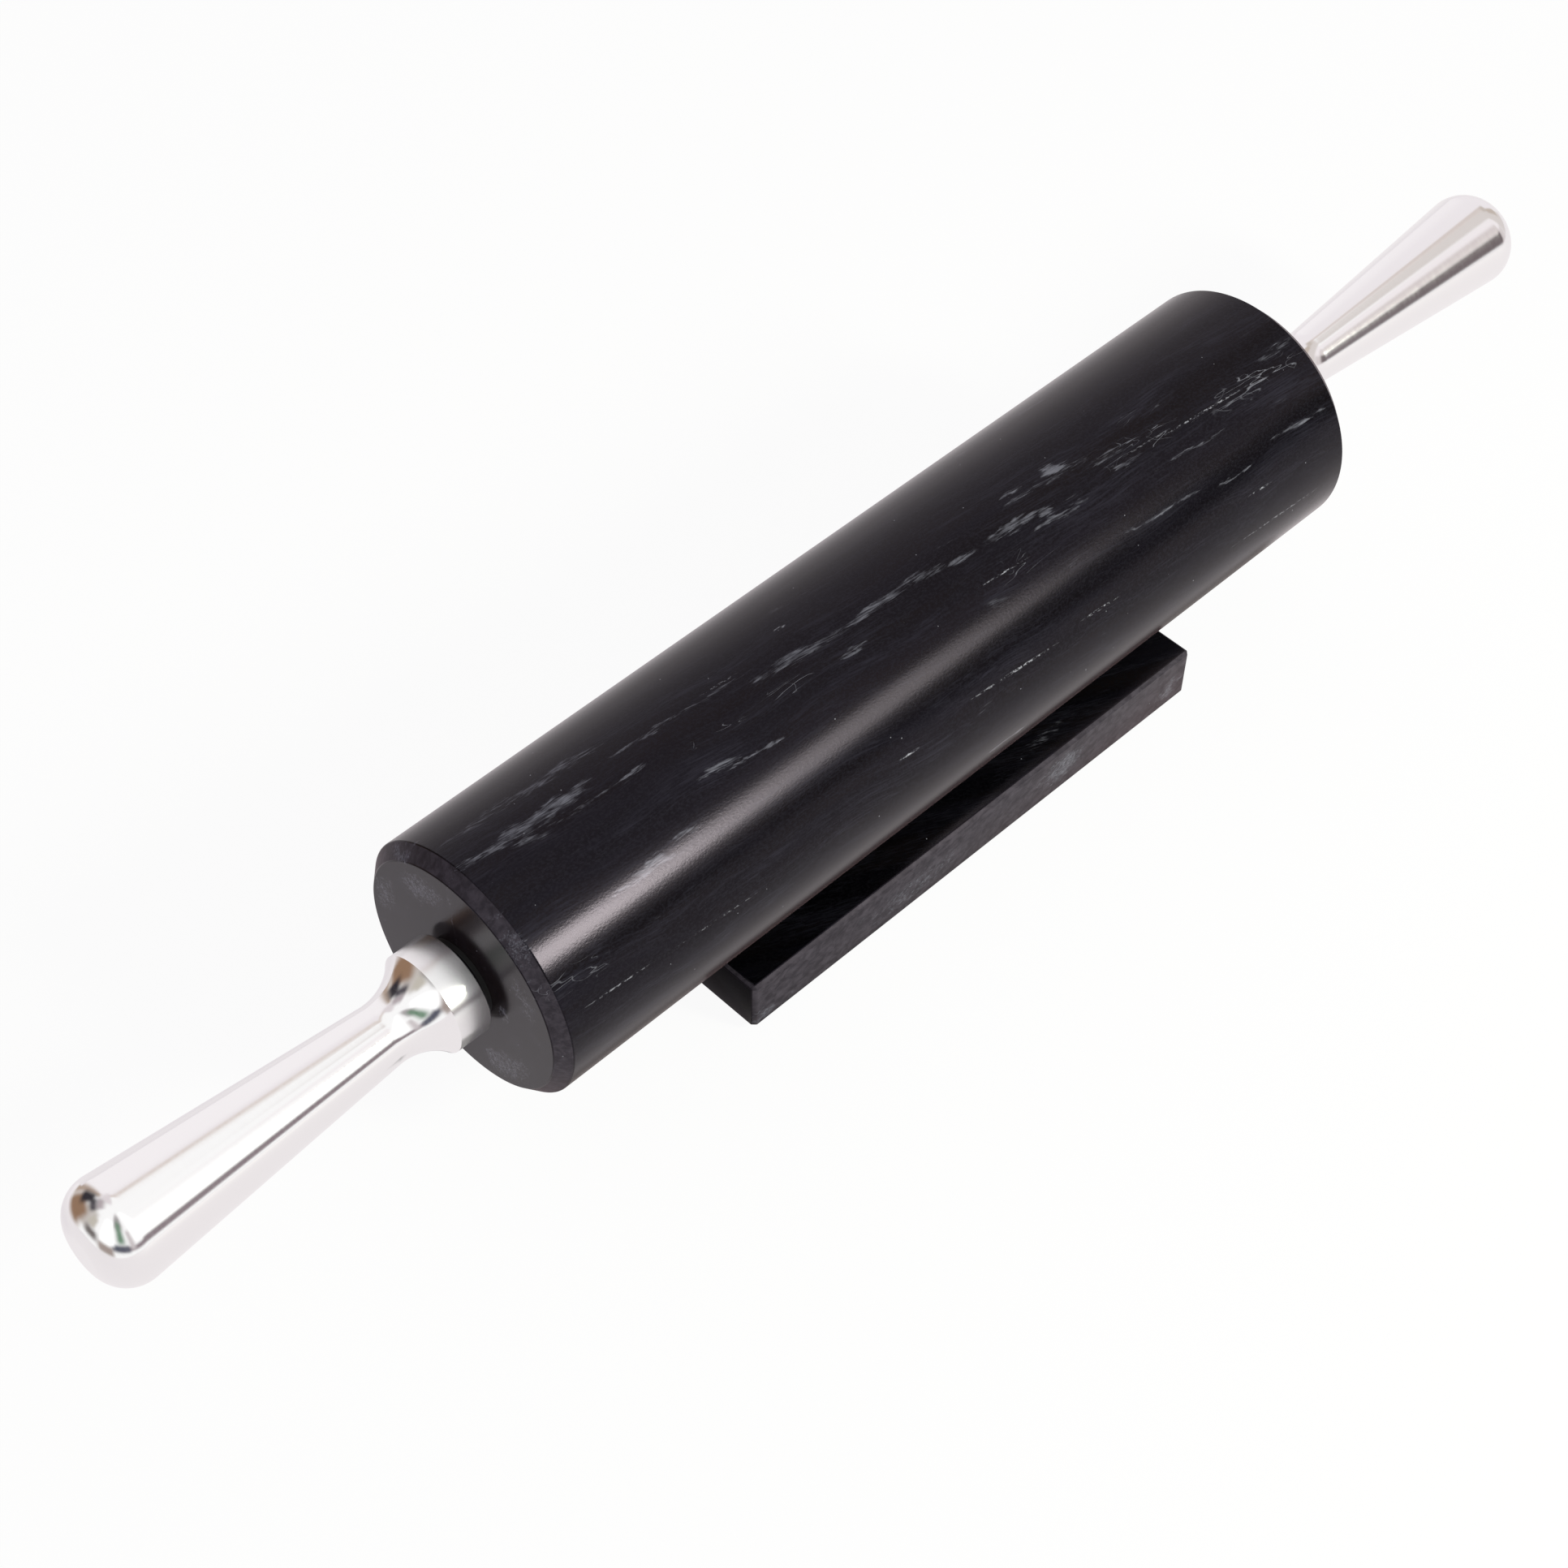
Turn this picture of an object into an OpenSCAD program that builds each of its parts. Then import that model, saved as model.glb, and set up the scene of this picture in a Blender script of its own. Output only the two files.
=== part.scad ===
// Marble rolling pin on its marble stand.
// A stone roller turns on a steel axle between two turned aluminium handles.
// The pin lies along X in the stand's groove, and the stand rests on four pads at z = 0.

/* [Roller] */
// Diameter of the marble roller
roller_d = 62.8; // [54:0.2:76]
// Length of the marble roller between its end faces
roller_l = 254; // [180:1:320]
// Chamfer around each end of the roller
roller_chamfer = 3.1; // [1:0.1:5]
// Diameter of the hole drilled through the roller
bore_d = 16; // [14:0.5:18]

/* [Axle] */
// Diameter of the steel axle rod
rod_d = 10; // [9:0.5:11]
// Height of the shoulder that each handle is screwed up against
rod_shoulder = 1; // [0.8:0.1:1.5]
// Length of the threaded end inside each handle
thread_l = 28; // [18:1:40]
// Length of the turned relief between the shoulder and the thread
relief_l = 2; // [1:0.5:4]
// Depth of the turned relief under the thread's surface
relief_depth = 0.6; // [0.3:0.1:1]
// Chamfer on the tip of each threaded end
thread_chamfer = 0.8; // [0.4:0.1:1.2]

/* [Bushes and washers] */
// Length of each bush inside the roller's bore
bush_l = 20; // [10:1:40]
// Thickness of the bush's flange
flange_t = 1.2; // [0.8:0.1:2.5]
// Lip of the flange outside the roller's bore
flange_lip = 1.5; // [1:0.5:3]
// Lead-in chamfer at the inner end of each bush
bush_chamfer = 0.6; // [0.3:0.1:1]
// Thickness of each thrust washer
washer_t = 0.8; // [0.5:0.1:1.5]
// Step from the flange's edge in to the thrust washer's edge
washer_step = 0.5; // [0:0.5:2]

/* [Handles] */
// Length of each handle
handle_l = 94.1; // [75:0.1:130]
// Diameter of the handle's collar beside the roller
collar_d = 24.1; // [22:0.1:30]
// Length of the straight collar
collar_l = 8.2; // [5:0.1:12]
// Diameter of the handle's neck
neck_d = 14.4; // [14:0.1:18]
// Distance from the handle's inner face to the neck
neck_at = 20.5; // [18:0.1:26]
// Radius of the concave flare between the collar and the neck
flare_r = 14; // [12:0.5:30]
// Diameter of the grip where its end rounding starts
grip_d = 24.4; // [22:0.1:30]
// Radius of the rounding around the grip's end
end_r = 8.5; // [4:0.1:10]
// Depth of the tapped hole past the end of the thread
hole_spare = 5; // [2:0.5:10]

/* [Stand] */
// Length of the stand along the roller
stand_l = 146.4; // [100:0.2:180]
// Width of the stand across the roller
stand_w = 60; // [48:0.5:80]
// Thickness of the stand's slab
stand_t = 14.7; // [12:0.1:25]
// Chamfer on the edges of the stand
stand_chamfer = 1; // [0.5:0.1:2]
// Depth of the groove that the roller lies in
groove_depth = 3.6; // [2:0.1:6]
// Distance of the stand's middle from the roller's middle
stand_shift = 2.1; // [-15:0.1:15]

/* [Pads] */
// Diameter of each pad under the stand
pad_d = 12; // [8:0.5:16]
// Thickness of each pad
pad_t = 1.5; // [1:0.1:3]
// Distance from the stand's sides to the pads' edges
pad_inset = 5; // [2:0.5:8]
// Chamfer around each pad's lower edge
pad_chamfer = 0.3; // [0.1:0.1:0.6]

/* [Clearances] */
// Radial running clearance between the axle and the bushes
run_gap = 0.05; // [0.02:0.01:0.1]
// Radial clearance between the axle and the thrust washers
washer_gap = 0.2; // [0.1:0.05:0.4]
// Radial clearance of each bush in the roller's bore
seat_gap = 0.01; // [0.01:0.01:0.05]
// Radial clearance of each thread in its tapped hole
thread_gap = 0.05; // [0.02:0.01:0.1]
// End float of the roller between the thrust washers, at each end
end_float = 0.25; // [0.1:0.05:0.5]
// Clearance between the roller and the stand's groove
groove_gap = 0.3; // [0.2:0.05:0.5]

/* [Hidden] */
$fn = 96;

LEFT = -1;
RIGHT = 1;
FRONT = -1;
BACK = 1;

BLACK_MARBLE = "#232126";
POLISHED_ALUMINIUM = "#d9d6d8";
BRIGHT_STEEL = "#a9abae";
BLACK_NYLON = "#1b1b1d";
DARK_RUBBER = "#2b2b2b";

// Small overlap that keeps a cut clear of the face it opens through
cut = 1;
// Half of a drill's point angle
drill_half_angle = 59;
// Steps along each turned arc
arc_steps = 16;

roller_r = roller_d / 2;
bore_r = bore_d / 2;
rod_r = rod_d / 2;
thread_r = rod_r - rod_shoulder;
flange_r = bore_r + flange_lip;
washer_r = flange_r - washer_step;
groove_r = roller_r + groove_gap;
axis_h = pad_t + stand_t - groove_depth + groove_r;

// Faces along the axle, measured out from the roller's middle
roller_end = roller_l / 2;
flange_face = roller_end + flange_t;
washer_face = flange_face + end_float;
handle_face = washer_face + washer_t;

// Grip: a cone from the neck, then a rounding that is tangent to the cone and to the flat end
collar_r = collar_d / 2;
neck_r = neck_d / 2;
grip_r = grip_d / 2;
end_at = handle_l - end_r;
taper = atan((grip_r - neck_r) / (end_at - neck_at));
end_centre = grip_r - end_r / cos(taper);

// Flare: the centre of the arc that joins the collar's rim to the neck
flare_run = neck_at - collar_l;
flare_drop = collar_r - neck_r;
flare_chord = norm([flare_run, flare_drop]);
flare_rise = sqrt(flare_r * flare_r - flare_chord * flare_chord / 4);
flare_x = (collar_r + neck_r) / 2 + flare_rise * flare_run / flare_chord;
flare_y = (collar_l + neck_at) / 2 + flare_rise * flare_drop / flare_chord;
rim_angle = atan2(collar_l - flare_y, collar_r - flare_x);
neck_angle = atan2(neck_at - flare_y, neck_r - flare_x) - 360;

// Points on an arc about a centre, from one angle to another
function arc(x, y, r, from, to) =
    [for (i = [0 : arc_steps]) let (a = from + (to - from) * i / arc_steps) [x + r * cos(a), y + r * sin(a)]];

// Places a piece on the axle, with its own +Z pointing out of the given end
module on_axle(side) {
    translate([0, 0, axis_h]) rotate([0, side * 90, 0]) children();
}

// Turned ring between two radii, with a chamfer around its outer edge at the far end
module turned_ring(inner, outer, from, to, chamfer = 0) {
    rotate_extrude() polygon([
        [inner, from],
        [outer, from],
        [outer, to - chamfer],
        [outer - chamfer, to],
        [inner, to]
    ]);
}

// Rectangle with its four corners cut off at 45 degrees
module chamfered_rectangle(l, w, c) {
    polygon([
        [-l / 2 + c, -w / 2], [l / 2 - c, -w / 2],
        [l / 2, -w / 2 + c], [l / 2, w / 2 - c],
        [l / 2 - c, w / 2], [-l / 2 + c, w / 2],
        [-l / 2, w / 2 - c], [-l / 2, -w / 2 + c]
    ]);
}

// Slab centred on the origin with a chamfer on every edge
module chamfered_slab(l, w, t, c) {
    intersection() {
        linear_extrude(t, center = true) chamfered_rectangle(l, w, c);
        rotate([90, 0, 0]) linear_extrude(w, center = true) chamfered_rectangle(l, t, c);
        rotate([90, 0, 90]) linear_extrude(l, center = true) chamfered_rectangle(w, t, c);
    }
}

module marble_roller() {
    color(BLACK_MARBLE) on_axle(RIGHT) rotate_extrude() polygon([
        [bore_r, -roller_end],
        [roller_r - roller_chamfer, -roller_end],
        [roller_r, -roller_end + roller_chamfer],
        [roller_r, roller_end - roller_chamfer],
        [roller_r - roller_chamfer, roller_end],
        [bore_r, roller_end]
    ]);
}

// Half of the axle's outline, from its middle to one threaded tip
function axle_half(side) = [
    [rod_r, side * handle_face],
    [thread_r - relief_depth, side * handle_face],
    [thread_r - relief_depth, side * (handle_face + relief_l)],
    [thread_r, side * (handle_face + relief_l)],
    [thread_r, side * (handle_face + thread_l - thread_chamfer)],
    [thread_r - thread_chamfer, side * (handle_face + thread_l)]
];

module axle_rod() {
    left_half = axle_half(LEFT);
    color(BRIGHT_STEEL) on_axle(RIGHT) rotate_extrude() polygon(concat(
        [[0, -handle_face - thread_l]],
        [for (i = [len(left_half) - 1 : -1 : 0]) left_half[i]],
        axle_half(RIGHT),
        [[0, handle_face + thread_l]]
    ));
}

// Bush with its flange against the roller's end face
module bush(side) {
    bush_end = roller_end - bush_l;
    color(BLACK_NYLON) on_axle(side) rotate_extrude() polygon([
        [rod_r + run_gap, bush_end],
        [bore_r - seat_gap - bush_chamfer, bush_end],
        [bore_r - seat_gap, bush_end + bush_chamfer],
        [bore_r - seat_gap, roller_end],
        [flange_r, roller_end],
        [flange_r, flange_face],
        [rod_r + run_gap, flange_face]
    ]);
}

// Washer that lies against the handle and leaves the roller its end float
module washer(side) {
    color(BLACK_NYLON) on_axle(side) turned_ring(rod_r + washer_gap, washer_r, washer_face, handle_face);
}

// Outline of a handle from its axis out, standing on its inner face
module handle_outline() {
    polygon(concat(
        [[0, 0], [collar_r, 0]],
        arc(flare_x, flare_y, flare_r, rim_angle, neck_angle),
        arc(end_centre, end_at, end_r, -taper, 90),
        [[0, handle_l]]
    ));
}

// Tapped hole that takes the axle's threaded end, with a drill point at its bottom
module tapped_hole() {
    hole_r = thread_r + thread_gap;
    hole_depth = thread_l + hole_spare;
    rotate_extrude() polygon([
        [0, -cut],
        [hole_r, -cut],
        [hole_r, hole_depth],
        [0, hole_depth + hole_r / tan(drill_half_angle)]
    ]);
}

module handle(side) {
    color(POLISHED_ALUMINIUM) on_axle(side) translate([0, 0, handle_face]) difference() {
        rotate_extrude() handle_outline();
        tapped_hole();
    }
}

module marble_stand() {
    color(BLACK_MARBLE) difference() {
        translate([stand_shift, 0, pad_t + stand_t / 2])
            chamfered_slab(stand_l, stand_w, stand_t, stand_chamfer);
        translate([stand_shift, 0, axis_h]) rotate([0, 90, 0])
            cylinder(h = stand_l + 2 * cut, r = groove_r, center = true);
    }
}

// Pad stuck under one corner of the stand
module pad(along, across) {
    from_end = stand_l / 2 - pad_inset - pad_d / 2;
    from_side = stand_w / 2 - pad_inset - pad_d / 2;
    color(DARK_RUBBER) translate([stand_shift + along * from_end, across * from_side, pad_t])
        rotate([180, 0, 0]) turned_ring(0, pad_d / 2, 0, pad_t, pad_chamfer);
}

marble_roller();
axle_rod();
bush(LEFT);  // left_bush
bush(RIGHT);  // right_bush
washer(LEFT);  // left_washer
washer(RIGHT);  // right_washer
handle(LEFT);  // left_handle
handle(RIGHT);  // right_handle
marble_stand();
pad(LEFT, FRONT);  // front_left_pad
pad(RIGHT, FRONT);  // front_right_pad
pad(LEFT, BACK);  // back_left_pad
pad(RIGHT, BACK);  // back_right_pad
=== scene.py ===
import logging
import math
from dataclasses import dataclass
from enum import Enum
from typing import Optional, Union

import bmesh
import bpy
from mathutils import Matrix, Vector


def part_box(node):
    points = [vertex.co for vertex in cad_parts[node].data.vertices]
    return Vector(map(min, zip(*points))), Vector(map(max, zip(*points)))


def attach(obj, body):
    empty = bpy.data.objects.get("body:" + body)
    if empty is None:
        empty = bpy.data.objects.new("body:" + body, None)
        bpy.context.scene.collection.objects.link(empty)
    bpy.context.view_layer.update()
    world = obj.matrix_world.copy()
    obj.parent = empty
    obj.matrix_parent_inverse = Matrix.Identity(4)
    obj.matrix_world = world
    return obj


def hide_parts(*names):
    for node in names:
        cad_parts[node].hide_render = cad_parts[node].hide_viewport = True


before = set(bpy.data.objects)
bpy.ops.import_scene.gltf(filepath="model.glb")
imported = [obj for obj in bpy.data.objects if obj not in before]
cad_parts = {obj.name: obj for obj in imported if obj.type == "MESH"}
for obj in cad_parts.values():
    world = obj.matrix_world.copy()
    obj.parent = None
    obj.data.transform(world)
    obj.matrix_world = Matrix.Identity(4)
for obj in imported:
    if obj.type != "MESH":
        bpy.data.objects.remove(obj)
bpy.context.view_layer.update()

LOG = logging.getLogger("rolling_pin")
MM = 0.001
MATH = "ShaderNodeMath"
VECTOR_MATH = "ShaderNodeVectorMath"
MAP_RANGE = "ShaderNodeMapRange"
NOISE_MIDDLE = (0.5, 0.5, 0.5)

Point = tuple[float, float]
Triple = tuple[float, float, float]
Socket = bpy.types.NodeSocket
Value = Union[float, int, bool, str, tuple, Socket, bpy.types.Material]


class Side(Enum):
    """End of the axle that a piece belongs to, as the sign of its place along X."""

    LEFT = -1
    RIGHT = 1


class Body(Enum):
    """The rigid bodies that the pieces ride on."""

    STAND = "stand"
    AXLE = "axle"
    ROLLER = "roller"


class Mark(Enum):
    """Kinds of natural marking in the stone."""

    CLOUD = "soft pale patch drawn out along the bed"
    CRACKLE = "net of fine curling veins"
    DASHES = "broken hair-thin line of white calcite"


def linear(hex_colour: str) -> tuple[float, float, float, float]:
    """Turn an sRGB hex colour into linear light.

    Args:
        hex_colour: Colour such as "#1b1a1d".

    Returns:
        Red, green, blue and an alpha of 1, as a shader socket takes them.
    """
    parts = [int(hex_colour[i:i + 2], 16) / 255 for i in (1, 3, 5)]
    light = [c / 12.92 if c <= 0.04045 else ((c + 0.055) / 1.055) ** 2.4 for c in parts]
    return (light[0], light[1], light[2], 1.0)


def add(tree: bpy.types.NodeTree, kind: str, inputs: Optional[dict] = None,
        **settings: Value) -> Optional[Socket]:
    """Add one node with its settings, values and links.

    Args:
        tree: Node tree that takes the node.
        kind: Blender's name of the node type.
        inputs: Value or output socket for each input, by the input's name or number.
        settings: Properties of the node itself, such as its operation.

    Returns:
        The node's first output that is in use, or None where it has none.
    """
    node = tree.nodes.new(kind)
    for name, value in settings.items():
        setattr(node, name, value)
    for key, value in (inputs or {}).items():
        named = (s for s in node.inputs if s.enabled and s.name == key)
        socket = node.inputs[key] if isinstance(key, int) else next(named)
        if isinstance(value, Socket):
            tree.links.new(value, socket)
        else:
            socket.default_value = value
    return next((s for s in node.outputs if s.enabled), None)


def new_material(name: str) -> tuple[bpy.types.Material, bpy.types.NodeTree, bpy.types.Node]:
    """Make a material that is ready for its own nodes.

    Args:
        name: Name of the material.

    Returns:
        The material, its node tree and its shader node.
    """
    material = bpy.data.materials.new(name)
    material.use_nodes = True
    return material, material.node_tree, material.node_tree.nodes["Principled BSDF"]


def into_scene(name: str, data: bpy.types.ID) -> bpy.types.Object:
    """Make an object of a mesh, camera or lamp and put it in the scene.

    Args:
        name: Name of the object.
        data: The mesh, camera or lamp.

    Returns:
        The object.
    """
    made = bpy.data.objects.new(name, data)
    bpy.context.scene.collection.objects.link(made)
    return made


def piece_tree(name: str, inputs: dict[str, str], output: str) -> tuple[bpy.types.NodeTree, dict[str, str]]:
    """Make a Geometry Nodes tree with named inputs and one geometry output.

    Args:
        name: Name of the tree.
        inputs: Kind of each input by its name.
        output: Name of the output.

    Returns:
        The tree, and each input's identifier by its name.
    """
    tree = bpy.data.node_groups.new(name, "GeometryNodeTree")
    for label, kind in inputs.items():
        tree.interface.new_socket(name=label, in_out="INPUT", socket_type=f"NodeSocket{kind}")
    tree.interface.new_socket(name=output, in_out="OUTPUT", socket_type="NodeSocketGeometry")
    keys = {item.name: item.identifier for item in tree.interface.items_tree if item.in_out == "INPUT"}
    return tree, keys


@dataclass(frozen=True)
class Marking:
    """One natural marking, by its middle and its reach in the stone's own coordinates, in millimetres.

    A reach of 0 stands for a marking that runs right through the stone in that direction.
    """

    kind: Mark
    middle: Triple
    reach: Triple
    strength: float = 1.0


@dataclass(frozen=True)
class FlatBed:
    """Beds of a sawn slab, which cross it at a slant, and its polished outer faces."""

    middle: Triple
    half: Triple
    turn_deg: Triple = (0.0, 8.0, 24.0)
    edge: float = 0.12

    def place(self, tree: bpy.types.NodeTree) -> Socket:
        """Place in the stone in millimetres, from the frame's origin."""
        origin = add(tree, "ShaderNodeTexCoord").node.outputs["Object"]
        return add(tree, VECTOR_MATH, {0: origin, "Scale": 1 / MM}, operation="SCALE")

    def along_bed(self, tree: bpy.types.NodeTree, place: Socket) -> Socket:
        """Turn a place so that X runs along the stone's beds, for patterns that fill the stone."""
        turn = tuple(math.radians(a) for a in self.turn_deg)
        return add(tree, "ShaderNodeMapping", {"Vector": place, "Rotation": turn})

    def on_face(self, tree: bpy.types.NodeTree, place: Socket) -> Socket:
        """Give the place that the listed markings are measured in."""
        return place

    def polish(self, tree: bpy.types.NodeTree, place: Socket) -> Socket:
        """Tell the polished faces from the ground chamfers and cuts.

        Args:
            tree: The material's node tree.
            place: Place in the stone in millimetres.

        Returns:
            Socket that is 1 on the polished faces and 0 on the rest.
        """
        offset = add(tree, VECTOR_MATH, {0: place, 1: self.middle}, operation="SUBTRACT")
        size = add(tree, VECTOR_MATH, {0: offset}, operation="ABSOLUTE")
        return self.outermost(tree, size, self.half)

    def outermost(self, tree: bpy.types.NodeTree, size: Socket, limits: Triple) -> Socket:
        """Tell which points lie at the outer limit in some direction.

        Args:
            tree: The material's node tree.
            size: Distance from the middle in each direction.
            limits: Largest such distance on the piece, in each direction.

        Returns:
            Socket that is 1 at a limit and 0 away from all of them.
        """
        split = add(tree, "ShaderNodeSeparateXYZ", {"Vector": size}).node
        share = 0.0
        for axis, limit in zip("XYZ", limits):
            here = add(tree, MAP_RANGE, {
                "Value": split.outputs[axis], "From Min": limit - 2 * self.edge,
                "From Max": limit - self.edge})
            share = add(tree, MATH, {0: share, 1: here}, operation="MAXIMUM")
        return share


@dataclass(frozen=True)
class RolledBed(FlatBed):
    """Beds that a turned roller cuts nearly along its axis, so that they wind slowly round it."""

    radius: float = 31.4
    twist_deg_per_mm: float = 0.13
    waves_per_mm: float = 0.022
    wave_reach: Triple = (0.0, 7.0, 7.0)
    far: float = 1e6

    def straight(self, tree: bpy.types.NodeTree, place: Socket) -> Socket:
        """Untwist a place about the roller's axis.

        Args:
            tree: The material's node tree.
            place: Place in the stone in millimetres.

        Returns:
            The place that it would have in straight beds.
        """
        along = add(tree, "ShaderNodeSeparateXYZ", {"Vector": place})
        angle = add(tree, MATH, {0: along, 1: -math.radians(self.twist_deg_per_mm)}, operation="MULTIPLY")
        return add(tree, "ShaderNodeVectorRotate", {
            "Vector": place, "Center": self.middle, "Angle": angle}, rotation_type="X_AXIS")

    def along_bed(self, tree: bpy.types.NodeTree, place: Socket) -> Socket:
        """Untwist a place and bend it by slow waves in the bedding.

        Args:
            tree: The material's node tree.
            place: Place in the stone in millimetres.

        Returns:
            The place with X along the stone's beds, for patterns that fill the stone.
        """
        waves = add(tree, "ShaderNodeTexNoise", {
            "Vector": place, "Scale": self.waves_per_mm, "Detail": 1.0}).node.outputs["Color"]
        centred = add(tree, VECTOR_MATH, {0: waves, 1: NOISE_MIDDLE}, operation="SUBTRACT")
        return add(tree, VECTOR_MATH, {
            0: centred, 1: self.wave_reach, 2: self.straight(tree, place)}, operation="MULTIPLY_ADD")

    def on_face(self, tree: bpy.types.NodeTree, place: Socket) -> Socket:
        """Unroll a place, as the listed markings are measured.

        Args:
            tree: The material's node tree.
            place: Place in the stone in millimetres.

        Returns:
            Distance along the roller, untwisted round it towards the front, and out of it.
        """
        offset = add(tree, VECTOR_MATH, {
            0: self.straight(tree, place), 1: self.middle}, operation="SUBTRACT")
        split = add(tree, "ShaderNodeSeparateXYZ", {"Vector": offset}).node
        front = add(tree, MATH, {0: split.outputs["Y"], 1: -1.0}, operation="MULTIPLY")
        turned = add(tree, MATH, {0: front, 1: split.outputs["Z"]}, operation="ARCTAN2")
        round_it = add(tree, MATH, {0: turned, 1: self.radius}, operation="MULTIPLY")
        ring = add(tree, "ShaderNodeCombineXYZ", {"Y": split.outputs["Y"], "Z": split.outputs["Z"]})
        out = add(tree, VECTOR_MATH, {0: ring}, operation="LENGTH")
        return add(tree, "ShaderNodeCombineXYZ", {"X": split.outputs["X"], "Y": round_it, "Z": out})

    def polish(self, tree: bpy.types.NodeTree, place: Socket) -> Socket:
        """Tell the barrel and the end faces from the ground chamfers.

        Args:
            tree: The material's node tree.
            place: Place in the stone in millimetres.

        Returns:
            Socket that is 1 on the barrel and the end faces and 0 on the chamfers.
        """
        split = add(tree, "ShaderNodeSeparateXYZ", {"Vector": self.on_face(tree, place)}).node
        along = add(tree, MATH, {0: split.outputs["X"]}, operation="ABSOLUTE")
        size = add(tree, "ShaderNodeCombineXYZ", {"X": along, "Y": split.outputs["Z"]})
        return self.outermost(tree, size, (self.half[0], self.radius, self.far))

    def marking(self, kind: Mark, along: float, angle_deg: float, length: float, width: float,
                strength: float, out: float = 0.0, deep: float = 0.0) -> Marking:
        """Place a marking on the roller.

        Args:
            kind: Kind of marking.
            along: Its middle along the roller, in millimetres from the roller's middle.
            angle_deg: Its angle from the top towards the front.
            length: Its length along the bed in millimetres.
            width: Its width across the bed in millimetres, measured at the barrel.
            strength: How plainly it shows, up to 1.
            out: Its middle's distance from the axis, for a marking on an end face.
            deep: Its size in that direction, or 0 where it runs right through.

        Returns:
            The marking in the roller's own coordinates.
        """
        untwisted = math.radians(angle_deg - self.twist_deg_per_mm * along)
        middle = (along, untwisted * self.radius, out)
        return Marking(kind, middle, (length / 2, width / 2, deep / 2), strength)


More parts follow.
